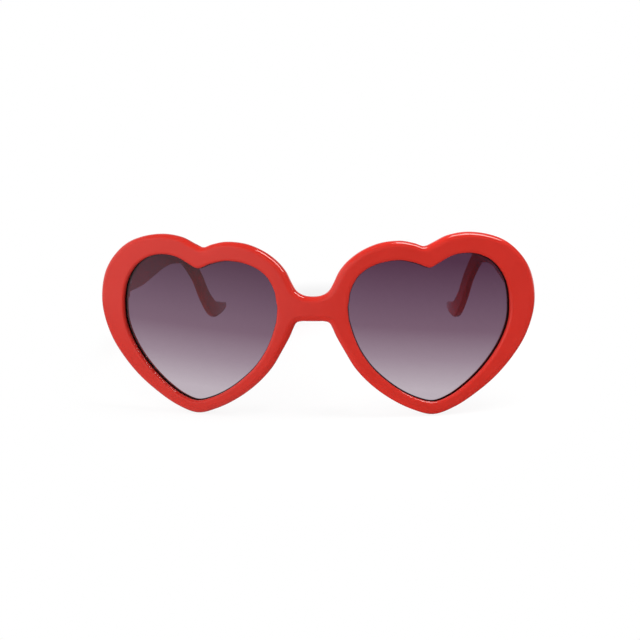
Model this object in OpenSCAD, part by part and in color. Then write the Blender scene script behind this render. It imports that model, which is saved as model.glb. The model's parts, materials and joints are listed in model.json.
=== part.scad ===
// Heart-shaped sunglasses, standing open on the tips of the heart rims and of the temples.
// +X is to the wearer's left, the face of the front looks along -Y, +Z is up, and x = 0 is the
// middle plane. Left and right in the names are the wearer's.

/* [Front] */
// Width of each heart-shaped lens opening
opening_w = 53.6; // [51:0.1:56]
// Height of each heart-shaped lens opening
opening_h = 49.8; // [47.5:0.1:52]
// Distance between the two lens openings across the nose
bridge_w = 23.2; // [21.6:0.1:25]
// Height of the bridge bar at its middle
bridge_h = 8.2; // [7.4:0.1:9]
// Height of the bridge's straight underside over the lowest point of the hearts
bridge_z = 32.15; // [31.2:0.05:33]
// Rim width at the widest place, on the outer side of each heart
rim_w = 8.9; // [8.2:0.1:9.8]
// Thickness of the front from face to back
front_t = 4.6; // [4.3:0.1:5.4]
// Radius that the front is wrapped to, seen from above
wrap_r = 240; // [210:5:300]
// Angle by which the front leans back from upright, in degrees
lean = 6; // [4:0.5:8]
// Rounding of the outer edge on the face
face_round = 2; // [1.6:0.1:2.2]
// Rounding of the outer edge on the back
back_round = 1.7; // [1.3:0.1:1.9]
// Rounding of the edge of each opening on the face
opening_round = 0.8; // [0.6:0.05:0.95]
// Rounding of the edge of each opening on the back
opening_back_round = 0.5; // [0.3:0.05:0.6]

/* [Lenses] */
// Thickness of each lens
lens_t = 2; // [1.7:0.1:2.2]
// Depth of the lens face behind the face of the rim
lens_set = 1.45; // [1.3:0.05:1.6]
// Depth of the groove that holds the lens, measured into the rim
groove_depth = 1.25; // [1.15:0.05:1.4]
// How far the lens reaches into its groove
lens_grip = 0.8; // [0.7:0.05:0.85]
// Play between the lens and each side of its groove
lens_play = 0.08; // [0.05:0.01:0.12]

/* [Nose pads] */
// Length of each nose pad along the rim
pad_l = 15; // [12:0.5:16]
// Width of each nose pad at its base
pad_w = 3.8; // [3.2:0.1:4.2]
// How far each nose pad stands out behind the rim
pad_depth = 6; // [4:0.1:6.6]

/* [Temples] */
// Distance from the front end of a temple to its tip, seen from the side
temple_reach = 131; // [125:1:137]
// Height of a temple at the hinge
temple_h = 12.6; // [12.4:0.1:13.4]
// Thickness of a temple
temple_t = 3.6; // [3.4:0.1:4]
// Height of the middle of the hinge over the table
hinge_z = 42.5; // [41.5:0.1:43.5]
// How far the outer face of a temple lies inside the widest place of the front
temple_step = 1.9; // [1.3:0.1:2.5]
// How much nearer to the middle plane the tip is than the hinge end
tip_inset = 14.4; // [11:0.2:16]
// Rounding of the long edges of a temple
temple_round = 1.1; // [0.8:0.1:1.3]
// Diameter of the metal core wire inside a temple
core_d = 1.4; // [1.2:0.1:1.6]
// Play round the core wire
core_play = 0.08; // [0.05:0.01:0.12]

/* [Hinges] */
// Outer diameter of the hinge barrels
barrel_d = 2.8; // [2.6:0.1:3]
// Height of one hinge barrel
barrel_h = 1.5; // [1.4:0.02:1.54]
// Gap between two neighbouring barrels
barrel_gap = 0.06; // [0.04:0.01:0.08]
// Diameter of the pivot screw
pivot_d = 1.4; // [1.2:0.1:1.5]
// Running clearance round the pivot screw
pivot_play = 0.03; // [0.02:0.01:0.05]
// Distance from the hinge axis to the back of the end block
barrel_set = 2.3; // [2.2:0.1:2.6]
// Distance from the hinge axis to the inner face of the temple
barrel_sink = 0.6; // [0.5:0.05:0.7]
// Thickness of the hinge leaves
leaf_t = 0.8; // [0.7:0.05:0.85]
// Width of the leaf on the end block
front_leaf_w = 4; // [3.6:0.1:4.2]
// Length of the leaf on the temple, measured from the hinge axis
temple_leaf_l = 12; // [11.4:0.1:12.6]
// Diameter of the small screws that hold the leaves
leaf_screw_d = 1; // [0.8:0.1:1.1]
// Diameter of the countersunk heads of the small screws
leaf_head_d = 1.8; // [1.6:0.1:1.9]
// Length of the small screws
leaf_screw_l = 2.3; // [2:0.1:2.5]
// Diameter of the pivot screw's head
pivot_head_d = 2.3; // [2.1:0.1:2.5]

/* [Hidden] */
$fn = 48;

// Facets of the great arcs that the front is wrapped to
wrap_fn = 720;
// Stations that each stretch between two points of the heart, or of the temple, is divided into
outline_steps = 2;
temple_steps = 3;
// Arc points, counted from the first, on the roundings of the front's outer edge, of its
// openings and of a temple's corners
edge_steps = 3;
opening_steps = 2;
corner_steps = 3;
// Bond line between the glued pieces and the front
bond = 0.05;
// Clearance of what is seated in a pocket or screwed into a hole
seat_play = 0.03;
// Clearance between the end of an open temple and its end block
butt_play = 0.15;
// Clearance round the barrels in the stepped end of the temple
notch_play = 0.3;
// Overrun of cutting shapes
cut = 1;

// The heart, clockwise from the middle of the bridge's top edge. Each row gives a point of the
// opening, as shares of its width and height, and the point of the outer edge that it pairs
// with: where the bridge joins, as shares of half the bridge's width and of its height above
// its underside, and elsewhere as the step to it in shares of the greatest rim width
bridge_top_shares = [[0.007, 0.702, 0, 1], [0.012, 0.742, 0.26, 1.05], [0.023, 0.778, 0.46, 1.23]];
rim_shares = [
    [0.040, 0.816, -0.76, -0.01], [0.070, 0.863, -0.73, 0.15], [0.124, 0.909, -0.70, 0.30],
    [0.194, 0.941, -0.61, 0.48], [0.262, 0.956, -0.37, 0.65], [0.334, 0.958, -0.10, 0.71],
    [0.421, 0.936, -0.09, 0.74], [0.497, 0.908, -0.18, 0.78], [0.560, 0.941, -0.22, 0.73],
    [0.632, 0.983, -0.12, 0.75], [0.716, 1, 0.09, 0.765], [0.806, 0.987, 0.34, 0.74],
    [0.890, 0.939, 0.53, 0.73], [0.953, 0.857, 0.73, 0.67], [0.988, 0.762, 0.89, 0.58],
    [1, 0.654, 0.99, 0.40], [0.995, 0.543, 0.98, 0.24], [0.960, 0.427, 0.90, 0],
    [0.899, 0.310, 0.79, -0.12], [0.817, 0.200, 0.63, -0.25], [0.722, 0.105, 0.44, -0.34],
    [0.627, 0.035, 0.22, -0.44], [0.530, 0, 0, -0.5], [0.427, 0.027, -0.17, -0.44],
    [0.325, 0.083, -0.34, -0.35], [0.231, 0.158, -0.50, -0.23], [0.149, 0.244, -0.61, -0.07],
    [0.084, 0.343, -0.64, 0.07], [0.045, 0.431, -0.70, 0.11], [0.026, 0.489, -0.72, 0.09]];
bridge_bottom_shares = [[0.014, 0.532, 0.47, -0.07], [0.007, 0.561, 0.31, 0], [0.004, 0.588, 0.16, 0],
    [0.002, 0.615, 0, 0]];
nose_side_shares = [[0, 0.652]];

// Middle of a nose pad, as shares of half the bridge's width and of its underside's height
pad_place_shares = [1.09, 0.69];
// Turn of its long axis from upright, in degrees
pad_turn = 29;
// Sideways and upward drift of a nose pad from its base to its crown, as shares of its depth
pad_drift_shares = [0.1, -0.08];
// Rings of a nose pad from base to crown: share of its depth, share of its length and width
pad_ring_shares = [[0, 1], [0.25, 0.98], [0.5, 0.92], [0.7, 0.82], [0.85, 0.67], [0.95, 0.45], [1, 0.18]];
pad_sides = 16;

// The temple from its front end to its tip. Each row gives the share of its reach, the height of
// the lower edge as a share of that at the hinge, the share of the inset, and the shares of its
// height and thickness
temple_shares = [
    [0, 1, 0, 1, 1], [0.108, 0.977, 0, 1.02, 1], [0.238, 0.938, 0.003, 1.06, 0.985],
    [0.36, 0.937, 0.012, 0.98, 0.95], [0.467, 0.945, 0.045, 0.835, 0.91],
    [0.543, 0.94, 0.11, 0.72, 0.88], [0.611, 0.91, 0.225, 0.625, 0.86],
    [0.672, 0.84, 0.365, 0.545, 0.85], [0.741, 0.565, 0.565, 0.49, 0.85],
    [0.79, 0.257, 0.71, 0.53, 0.86], [0.845, 0.032, 0.845, 0.62, 0.88],
    [0.9, 0.0025, 0.925, 0.52, 0.88], [0.95, 0.0015, 0.965, 0.38, 0.85],
    [0.987, 0.0105, 0.98, 0.27, 0.76]];
// Most that a corner's rounding may take of the thickness and of the height
corner_share = 0.4;
// Rounded end of the tip: step past the last point as a share of the reach, and its size
tip_end_shares = [[0.006, 0.86], [0.011, 0.6], [0.013, 0.26]];
// Ends of the core wire, as shares of the temple's stations
core_end_shares = [0.15, 0.85];
core_sides = 8;

// Margin of the end block round its leaf, and its thickness where it is thinnest
block_margin = 0.5;
block_min = 1.7;
// Barrels of a hinge: the front leaf has the first, third and fifth from below
barrel_count = 5;
// Distances from the hinge axis to the start of the temple's leaf and to its screws
leaf_start = 1.6;
leaf_screw_ys = [5, 9.4];
// Depth of the countersunk heads, height of the pivot screw's head and how far its end stands out
head_h = 0.45;
pivot_head_h = 0.7;
pivot_tail = 0.3;
// Screwdriver slots
slot_w = 0.35;
slot_depth = 0.3;

half_bridge = bridge_w/2;
barrel_pitch = barrel_h + barrel_gap;
hinge_h = barrel_count*barrel_pitch - barrel_gap;
temple_leaf_h = hinge_h - 2*barrel_gap;
front_screw_z = hinge_h/2 + leaf_head_d/2 + seat_play;
front_leaf_h = 2*front_screw_z + leaf_head_d + 2*seat_play;
groove_front = lens_set - lens_play;
groove_back = lens_set + lens_t + lens_play;

function flat(lists) = [for (list = lists) for (item = list) item];
function unit(v) = v/norm(v);

// Smooth curve from b to c, with a and d as their neighbours, and its direction
function curve(a, b, c, d, t) =
    ((2*b) + (c - a)*t + (2*a - 5*b + 4*c - d)*t*t + (3*b - a - 3*c + d)*t*t*t)/2;
function curve_way(a, b, c, d, t) =
    unit((c - a) + 2*(2*a - 5*b + 4*c - d)*t + 3*(3*b - a - 3*c + d)*t*t);

// Outline of the heart in the plane of the front
function opening_point(row) = [half_bridge + row[0]*opening_w, rim_w/2 + row[1]*opening_h];
function bridge_point(row) = [row[2]*half_bridge, bridge_z + row[3]*bridge_h];
function rim_point(row) = opening_point(row) + rim_w*[row[2], row[3]];
opening_points = [for (row = concat(bridge_top_shares, rim_shares, bridge_bottom_shares,
    nose_side_shares)) opening_point(row)];
edge_points = concat([for (row = bridge_top_shares) bridge_point(row)],
    [for (row = rim_shares) rim_point(row)], [for (row = bridge_bottom_shares) bridge_point(row)]);
point_count = len(opening_points);
edge_count = len(edge_points);
function beyond(p) = [-p[0], p[1]];
edge_run = concat([beyond(edge_points[1])], edge_points, [beyond(edge_points[edge_count - 2])]);

// Stations round a half of the front. Those from seam_start on lie on the middle plane
station_count = point_count*outline_steps;
seam_start = (edge_count - 1)*outline_steps;
seam_steps = station_count - seam_start;
function on_seam(n) = n % station_count == 0 || n >= seam_start;

function opening_place(n, shape) =
    let (i = floor(n/outline_steps), t = (n % outline_steps)/outline_steps)
    shape == 0
        ? curve(opening_points[(i + point_count - 1) % point_count], opening_points[i],
            opening_points[(i + 1) % point_count], opening_points[(i + 2) % point_count], t)
        : curve_way(opening_points[(i + point_count - 1) % point_count], opening_points[i],
            opening_points[(i + 1) % point_count], opening_points[(i + 2) % point_count], t);
function edge_place(n, shape) =
    let (i = floor(n/outline_steps), t = (n % outline_steps)/outline_steps)
    shape == 0
        ? curve(edge_run[i], edge_run[i + 1], edge_run[i + 2], edge_run[i + 3], t)
        : curve_way(edge_run[i], edge_run[i + 1], edge_run[i + 2], edge_run[i + 3], t);
// Turned to the left of its way, a vector points out of the heart
function outward(way) = [-way[1], way[0]];

opening_run = [for (n = [0:station_count - 1]) opening_place(n, 0)];
opening_out = [for (n = [0:station_count - 1]) outward(opening_place(n, 1))];

// A point at a station: offset into the rim from the opening or from the outer edge
function from_opening(n, offset) = opening_run[n] + offset*opening_out[n];
function from_edge(n, offset) =
    n < seam_start ? edge_place(n, 0) - offset*outward(edge_place(n, 1))
    : n == seam_start ? edge_points[edge_count - 1] + [0, offset]
    : [0, bridge_z + face_round + (bridge_h - 2*face_round)*(n - seam_start)/seam_steps];

// Section of the rim: whether a point belongs to the outer edge, its offset and its depth
function arc_offset(r, i, steps) = r*(1 - cos(90*i/steps));
function arc_depth(r, i, steps) = r*(1 - sin(90*i/steps));
section = concat(
    [[0, 0, groove_front]],
    [for (i = [0:opening_steps]) [0, arc_offset(opening_round, i, opening_steps),
        arc_depth(opening_round, i, opening_steps)]],
    [for (i = [edge_steps:-1:0]) [1, arc_offset(face_round, i, edge_steps),
        arc_depth(face_round, i, edge_steps)]],
    [for (i = [0:edge_steps]) [1, arc_offset(back_round, i, edge_steps),
        front_t - arc_depth(back_round, i, edge_steps)]],
    [for (i = [opening_steps:-1:0]) [0, arc_offset(opening_back_round, i, opening_steps),
        front_t - arc_depth(opening_back_round, i, opening_steps)]],
    [[0, 0, groove_back], [0, groove_depth, groove_back], [0, groove_depth, groove_front]]);
section_count = len(section);

// Wraps a point of the heart's plane, at a depth behind the face. The outline holds at the
// depth where the rounding of the face ends, which is where the front is widest
outline_r = wrap_r - face_round;
function wrap(p, depth) = [(wrap_r - depth)*p[0]/outline_r,
    wrap_r - (wrap_r - depth)*sqrt(1 - pow(p[0]/outline_r, 2)), p[1]];
// Leans a point of the front back
function leaned(p) = [p[0], p[1]*cos(lean) + p[2]*sin(lean), p[2]*cos(lean) - p[1]*sin(lean)];

leaned_half = [for (n = [0:station_count - 1]) for (s = section)
    leaned(wrap(s[0] == 0 ? from_opening(n, s[1]) : from_edge(n, s[1]), s[2]))];
front_lift = -min([for (p = leaned_half) p[2]]);
front_y = min([for (p = leaned_half) p[1]]);
front_x = max([for (p = leaned_half) p[0]]);

// Places of the temple and the hinge behind the outer side of the front
temple_x = front_x - temple_step;
inner_face_x = temple_x - temple_t;
hinge_x = inner_face_x - barrel_sink;
block_x = hinge_x - front_leaf_w/2 - block_margin;

// Where the back of the leaning front is, at a place x and a height z over the table
function back_y(x, z) = (wrap_r - sqrt(pow(wrap_r - front_t, 2) - x*x))/cos(lean)
    + (z - front_lift)*tan(lean);
block_y = back_y(temple_x, hinge_z + temple_h/2) + block_min;
hinge_y = block_y + barrel_set;
temple_y = block_y + butt_play;

// Rounded rectangle, w wide and h high
function rounded_points(w, h, r) = [for (corner = [[1, 1], [-1, 1], [-1, -1], [1, -1]])
    for (i = [0:corner_steps])
        let (a = 90*(corner[0]*corner[1] > 0 ? i : corner_steps - i)/corner_steps)
        [corner[0]*(w/2 - r + r*cos(a)), corner[1]*(h/2 - r + r*sin(a))]];

// Middle line of a temple: each point's place, height and thickness
low_z = hinge_z - temple_h/2;
function temple_point(row) =
    let (h = row[3]*temple_h, t = row[4]*temple_t)
    [inner_face_x - row[2]*tip_inset + t/2, temple_y + row[0]*temple_reach, row[1]*low_z + h/2, h, t];
temple_points = [for (row = temple_shares) temple_point(row)];
temple_count = len(temple_points);
temple_ends = concat([2*temple_points[0] - temple_points[1]], temple_points,
    [2*temple_points[temple_count - 1] - temple_points[temple_count - 2]]);
function temple_place(n) =
    let (i = min(floor(n/temple_steps), temple_count - 2), t = n/temple_steps - i)
    curve(temple_ends[i], temple_ends[i + 1], temple_ends[i + 2], temple_ends[i + 3], t);
temple_last = (temple_count - 1)*temple_steps;
temple_run = [for (n = [0:temple_last]) temple_place(n)];
function place_of(row) = [row[0], row[1], row[2]];
function temple_way(n) = n == 0 ? [0, 1, 0]
    : unit(place_of(temple_run[min(n + 1, temple_last)]) - place_of(temple_run[n - 1]));
// Ring of points round the middle line
function temple_ring(place, way, points) =
    let (side = unit(cross(way, [0, 0, 1])), up = cross(side, way))
    [for (p = points) place + p[0]*side + p[1]*up];
function temple_section(row, size) =
    rounded_points(size*row[4], size*row[3],
        size*min(temple_round, corner_share*row[4], corner_share*row[3]));
tip_way = temple_way(temple_last);
tip_row = temple_run[temple_last];
temple_rings = concat(
    [for (n = [0:temple_last])
        temple_ring(place_of(temple_run[n]), temple_way(n), temple_section(temple_run[n], 1))],
    [for (end = tip_end_shares) temple_ring(place_of(tip_row) + end[0]*temple_reach*tip_way,
        tip_way, temple_section(tip_row, end[1]))]);
back_end_y = max([for (ring = temple_rings) for (p = ring) p[1]]);

// The origin lies under the middle of the glasses, on the table
middle_y = (front_y + back_end_y)/2;

// Closed skin over rings of equal point counts
module skin(rings) {
    sides = len(rings[0]);
    last = len(rings) - 1;
    polyhedron(flat(rings), concat(
        [[for (k = [sides - 1:-1:0]) k]],
        [for (i = [0:last - 1]) for (k = [0:sides - 1])
            let (a = i*sides + k, b = i*sides + (k + 1) % sides)
            each [[a, b + sides, a + sides], [a, b, b + sides]]],
        [[for (k = [0:sides - 1]) last*sides + k]]));
}

module on_table() {
    translate([0, -middle_y, 0]) children();
}

module on_front() {
    on_table() translate([0, 0, front_lift]) rotate([-lean, 0, 0]) children();
}

module other_side() {
    mirror([1, 0, 0]) children();
}

// Box between two corners
module box(from, to) {
    translate(from) cube(to - from);
}

module front_frame() {
    points = concat(leaned_half, [for (p = leaned_half) [-p[0], p[1], p[2]]]);
    // Points on the middle plane belong to both halves
    function index(half, n, k) = (n % station_count)*section_count + k % section_count
        + (half == 1 && !(on_seam(n) && section[k % section_count][0] == 1) ? len(leaned_half) : 0);
    function inside(n, k) = on_seam(n) && on_seam(n + 1)
        && section[k][0] == 1 && section[(k + 1) % section_count][0] == 1;
    faces = [for (half = [0, 1]) for (n = [0:station_count - 1]) for (k = [0:section_count - 1])
        if (!inside(n, k))
            let (a = index(half, n, k), b = index(half, n + 1, k),
                c = index(half, n + 1, k + 1), d = index(half, n, k + 1))
            each (half == 1 ? [[a, b, c], [a, c, d]] : [[c, b, a], [d, c, a]])];
    color([0.83, 0.21, 0.19])
        on_table() translate([0, 0, front_lift]) polyhedron(points, faces);
}

// Lens on the wearer's left, cut from a wrapped sheet
module lens() {
    middle = wrap_r - lens_set - lens_t/2;
    deepest = wrap(opening_points[0] + [opening_w, 0], front_t)[1] + cut;
    outline = [for (n = [0:station_count - 1])
        let (p = from_opening(n, lens_grip)) [p[0]*middle/outline_r, p[1]]];
    color([0.40, 0.33, 0.39]) on_front() intersection() {
        translate([0, deepest, 0]) rotate([90, 0, 0]) linear_extrude(deepest) polygon(outline);
        translate([0, wrap_r, -cut]) difference() {
            cylinder(r = wrap_r - lens_set, h = opening_h + rim_w + 2*cut, $fn = wrap_fn);
            translate([0, 0, -cut])
                cylinder(r = wrap_r - lens_set - lens_t, h = opening_h + rim_w + 4*cut, $fn = wrap_fn);
        }
    }
}

module lens_left() {
    lens();
}

module lens_right() {
    other_side() lens();
}

// Nose pad on the wearer's left, glued to the back of the rim
module nose_pad() {
    function ring(row) = let (depth = row[0]*pad_depth,
        middle = [pad_place_shares[0]*half_bridge, pad_place_shares[1]*bridge_z]
            + depth*pad_drift_shares)
        [for (k = [0:pad_sides - 1])
            let (a = 360*k/pad_sides, x = row[1]*pad_w/2*cos(a), z = row[1]*pad_l/2*sin(a))
            wrap(middle + [x*cos(pad_turn) - z*sin(pad_turn), x*sin(pad_turn) + z*cos(pad_turn)],
                front_t + bond + depth)];
    color([0.80, 0.19, 0.18]) on_front() skin([for (row = pad_ring_shares) ring(row)]);
}

module nose_pad_left() {
    nose_pad();
}

module nose_pad_right() {
    other_side() nose_pad();
}

// Small countersunk screw along +Z, its head flush with z = 0, and the hole for it
module leaf_screw() {
    difference() {
        union() {
            translate([0, 0, -leaf_screw_l]) cylinder(d = leaf_screw_d, h = leaf_screw_l);
            translate([0, 0, -head_h]) cylinder(d1 = leaf_screw_d, d2 = leaf_head_d, h = head_h);
        }
        box([-leaf_head_d, -slot_w/2, -slot_depth], [leaf_head_d, slot_w/2, cut]);
    }
}

module leaf_screw_hole() {
    translate([0, 0, -leaf_screw_l - seat_play])
        cylinder(d = leaf_screw_d + 2*seat_play, h = leaf_screw_l + seat_play + cut);
    translate([0, 0, -head_h - seat_play])
        cylinder(d1 = leaf_screw_d + 2*seat_play, d2 = leaf_head_d + 2*seat_play, h = head_h + seat_play);
}

module at_front_screws() {
    for (side = [-1, 1])
        translate([hinge_x, block_y, hinge_z + side*front_screw_z]) rotate([-90, 0, 0]) children();
}

module at_temple_screws() {
    for (y = leaf_screw_ys)
        translate([inner_face_x, hinge_y + y, hinge_z]) rotate([0, -90, 0]) children();
}

// Block on the wearer's left, glued behind the rim, which carries the hinge
module end_block() {
    w = temple_x - block_x;
    start = back_y(block_x, hinge_z - temple_h/2) - cut;
    color([0.80, 0.19, 0.18]) difference() {
        intersection() {
            on_table() translate([block_x + w/2, block_y, hinge_z]) rotate([90, 0, 0])
                linear_extrude(block_y - start) polygon(rounded_points(w, temple_h, temple_round));
            on_front() translate([0, wrap_r, 0])
                cylinder(r = wrap_r - front_t - bond, h = 2*hinge_z, $fn = wrap_fn);
        }
        on_table() {
            box([hinge_x - front_leaf_w/2 - seat_play, block_y - leaf_t - seat_play,
                    hinge_z - front_leaf_h/2 - seat_play],
                [hinge_x + front_leaf_w/2 + seat_play, block_y + cut,
                    hinge_z + front_leaf_h/2 + seat_play]);
            at_front_screws() leaf_screw_hole();
        }
    }
}

module end_block_left() {
    end_block();
}

module end_block_right() {
    other_side() end_block();
}

// Barrels of one leaf, every second one from the given one up, along the hinge axis
module barrels(first) {
    for (i = [first:2:barrel_count - 1])
        translate([hinge_x, hinge_y, hinge_z - hinge_h/2 + i*barrel_pitch])
            cylinder(d = barrel_d, h = barrel_h);
}

module pivot_bore() {
    translate([hinge_x, hinge_y, hinge_z - hinge_h/2 - cut])
        cylinder(d = pivot_d + 2*pivot_play, h = hinge_h + 2*cut);
}

// Leaf with three barrels on the back of the end block
module front_hinge_leaf() {
    color([0.74, 0.72, 0.68]) on_table() difference() {
        union() {
            box([hinge_x - front_leaf_w/2, block_y - leaf_t, hinge_z - front_leaf_h/2],
                [hinge_x + front_leaf_w/2, block_y, hinge_z + front_leaf_h/2]);
            barrels(0);
            for (i = [0:2:barrel_count - 1]) {
                z = hinge_z - hinge_h/2 + i*barrel_pitch;
                box([hinge_x - barrel_d/2, block_y - leaf_t, z],
                    [hinge_x + barrel_d/2, hinge_y, z + barrel_h]);
            }
        }
        pivot_bore();
        at_front_screws() leaf_screw_hole();
    }
}

module front_hinge_leaf_left() {
    front_hinge_leaf();
}

module front_hinge_leaf_right() {
    other_side() front_hinge_leaf();
}

// Leaf with two barrels, let into the inner face of the temple
module temple_hinge_leaf() {
    color([0.74, 0.72, 0.68]) on_table() difference() {
        union() {
            box([inner_face_x, hinge_y + leaf_start, hinge_z - temple_leaf_h/2],
                [inner_face_x + leaf_t, hinge_y + temple_leaf_l, hinge_z + temple_leaf_h/2]);
            barrels(1);
            for (i = [1:2:barrel_count - 1]) {
                z = hinge_z - hinge_h/2 + i*barrel_pitch;
                box([hinge_x, hinge_y, z],
                    [inner_face_x + leaf_t, hinge_y + leaf_start + leaf_t, z + barrel_h]);
            }
        }
        pivot_bore();
        at_temple_screws() leaf_screw_hole();
    }
}

module temple_hinge_leaf_left() {
    temple_hinge_leaf();
}

module temple_hinge_leaf_right() {
    other_side() temple_hinge_leaf();
}

// Slotted screw that the temple turns on
module pivot_screw() {
    top = hinge_z + hinge_h/2 + seat_play;
    color([0.82, 0.80, 0.77]) on_table() difference() {
        union() {
            translate([hinge_x, hinge_y, hinge_z - hinge_h/2 - pivot_tail])
                cylinder(d = pivot_d, h = hinge_h + pivot_tail + pivot_head_h);
            translate([hinge_x, hinge_y, top]) cylinder(d = pivot_head_d, h = pivot_head_h);
        }
        box([hinge_x - pivot_head_d, hinge_y - slot_w/2, top + pivot_head_h - slot_depth],
            [hinge_x + pivot_head_d, hinge_y + slot_w/2, top + pivot_head_h + cut]);
    }
}

module pivot_screw_left() {
    pivot_screw();
}

module pivot_screw_right() {
    other_side() pivot_screw();
}

module front_leaf_screws_left() {
    color([0.82, 0.80, 0.77]) on_table() at_front_screws() leaf_screw();
}

module front_leaf_screws_right() {
    other_side() front_leaf_screws_left();
}

module temple_leaf_screws_left() {
    color([0.82, 0.80, 0.77]) on_table() at_temple_screws() leaf_screw();
}

module temple_leaf_screws_right() {
    other_side() temple_leaf_screws_left();
}

// Wire through the middle of the temple, r thick either way from its axis
module core(r) {
    circle_points = [for (k = [0:core_sides - 1]) r*[cos(360*k/core_sides), sin(360*k/core_sides)]];
    skin([for (n = [round(core_end_shares[0]*temple_last):round(core_end_shares[1]*temple_last)])
        temple_ring(place_of(temple_run[n]), temple_way(n), circle_points)]);
}

// Temple on the wearer's left, with its core channel, leaf pocket and stepped front end
module temple() {
    color([0.83, 0.21, 0.19]) on_table() difference() {
        skin(temple_rings);
        core(core_d/2 + core_play);
        box([hinge_x - temple_t, temple_y - cut, low_z - cut],
            [hinge_x + barrel_d/2 + notch_play, hinge_y + barrel_d/2 + notch_play, hinge_z + temple_h]);
        box([hinge_x - temple_t, hinge_y, hinge_z - temple_leaf_h/2 - seat_play],
            [inner_face_x + leaf_t + seat_play, hinge_y + temple_leaf_l + seat_play,
                hinge_z + temple_leaf_h/2 + seat_play]);
        at_temple_screws() leaf_screw_hole();
    }
}

module temple_left() {
    temple();
}

module temple_right() {
    other_side() temple();
}

module temple_core_left() {
    color([0.78, 0.77, 0.74]) on_table() core(core_d/2);
}

module temple_core_right() {
    other_side() temple_core_left();
}

front_frame();
lens_left();
lens_right();
nose_pad_left();
nose_pad_right();
end_block_left();
end_block_right();
front_hinge_leaf_left();
front_hinge_leaf_right();
temple_hinge_leaf_left();
temple_hinge_leaf_right();
pivot_screw_left();
pivot_screw_right();
front_leaf_screws_left();
front_leaf_screws_right();
temple_leaf_screws_left();
temple_leaf_screws_right();
temple_left();
temple_right();
temple_core_left();
temple_core_right();
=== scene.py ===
# Heart-shaped sunglasses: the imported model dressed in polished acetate, graded lenses and hinge metal
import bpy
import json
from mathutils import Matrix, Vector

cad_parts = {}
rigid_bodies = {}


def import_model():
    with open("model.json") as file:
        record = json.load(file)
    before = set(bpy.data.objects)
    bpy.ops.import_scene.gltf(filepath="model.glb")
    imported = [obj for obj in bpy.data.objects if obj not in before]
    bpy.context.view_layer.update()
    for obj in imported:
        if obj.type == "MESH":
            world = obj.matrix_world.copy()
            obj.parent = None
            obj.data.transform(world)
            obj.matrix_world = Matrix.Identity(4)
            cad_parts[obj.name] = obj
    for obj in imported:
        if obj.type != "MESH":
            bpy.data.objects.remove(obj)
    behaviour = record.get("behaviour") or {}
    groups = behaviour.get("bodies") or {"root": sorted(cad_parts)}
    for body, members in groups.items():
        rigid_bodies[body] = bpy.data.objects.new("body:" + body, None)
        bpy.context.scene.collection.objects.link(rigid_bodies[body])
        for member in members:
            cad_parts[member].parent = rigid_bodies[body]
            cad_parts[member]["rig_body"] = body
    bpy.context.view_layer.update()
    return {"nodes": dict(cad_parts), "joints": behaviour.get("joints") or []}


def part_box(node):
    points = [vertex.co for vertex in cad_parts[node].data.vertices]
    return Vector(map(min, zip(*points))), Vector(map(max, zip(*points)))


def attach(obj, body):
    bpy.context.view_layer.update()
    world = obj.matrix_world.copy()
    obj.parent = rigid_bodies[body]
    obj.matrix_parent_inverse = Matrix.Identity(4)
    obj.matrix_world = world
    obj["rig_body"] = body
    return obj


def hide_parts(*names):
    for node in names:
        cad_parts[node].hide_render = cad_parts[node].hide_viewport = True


bl_info = {
    "name": "Heart-Shaped Sunglasses",
    "version": (1, 0, 0),
    "blender": (4, 5, 0),
    "location": "3D View > Sidebar > Sunglasses",
    "description": "Builds heart-shaped sunglasses with graded lenses and folding temples",
    "category": "Add Mesh",
}

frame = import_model()

import json
import math

import bmesh
import bpy
import numpy as np
from bpy.props import FloatProperty, FloatVectorProperty, IntProperty, PointerProperty
from bpy.types import Operator, Panel, PropertyGroup
from mathutils import Matrix, Quaternion, Vector

MM = 0.001
SIDES = {"left": 1, "right": -1}

# The heart, clockwise from the middle of the bridge's top edge. Each row gives a point of the
# opening, as shares of its width and height, and the point of the outer edge that it pairs
# with: where the bridge joins, as shares of half the bridge's width and of its height above
# its underside, and elsewhere as the step to it in shares of the greatest rim width
BRIDGE_TOP_SHARES = [(0.007, 0.702, 0, 1), (0.012, 0.742, 0.26, 1.05), (0.023, 0.778, 0.46, 1.23)]
RIM_SHARES = [
    (0.040, 0.816, -0.76, -0.01), (0.070, 0.863, -0.73, 0.15), (0.124, 0.909, -0.70, 0.30),
    (0.194, 0.941, -0.61, 0.48), (0.262, 0.956, -0.37, 0.65), (0.334, 0.958, -0.10, 0.71),
    (0.421, 0.936, -0.09, 0.74), (0.497, 0.908, -0.18, 0.78), (0.560, 0.941, -0.22, 0.73),
    (0.632, 0.983, -0.12, 0.75), (0.716, 1, 0.09, 0.765), (0.806, 0.987, 0.34, 0.74),
    (0.890, 0.939, 0.53, 0.73), (0.953, 0.857, 0.73, 0.67), (0.988, 0.762, 0.89, 0.58),
    (1, 0.654, 0.99, 0.40), (0.995, 0.543, 0.98, 0.24), (0.960, 0.427, 0.90, 0),
    (0.899, 0.310, 0.79, -0.12), (0.817, 0.200, 0.63, -0.25), (0.722, 0.105, 0.44, -0.34),
    (0.627, 0.035, 0.22, -0.44), (0.530, 0, 0, -0.5), (0.427, 0.027, -0.17, -0.44),
    (0.325, 0.083, -0.34, -0.35), (0.231, 0.158, -0.50, -0.23), (0.149, 0.244, -0.61, -0.07),
    (0.084, 0.343, -0.64, 0.07), (0.045, 0.431, -0.70, 0.11), (0.026, 0.489, -0.72, 0.09)]
BRIDGE_BOTTOM_SHARES = [(0.014, 0.532, 0.47, -0.07), (0.007, 0.561, 0.31, 0),
                        (0.004, 0.588, 0.16, 0), (0.002, 0.615, 0, 0)]
NOSE_SIDE_SHARES = [(0, 0.652)]
# Rows of points across the face of the rim, and across its back
FLAT_ROWS = 5

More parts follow.
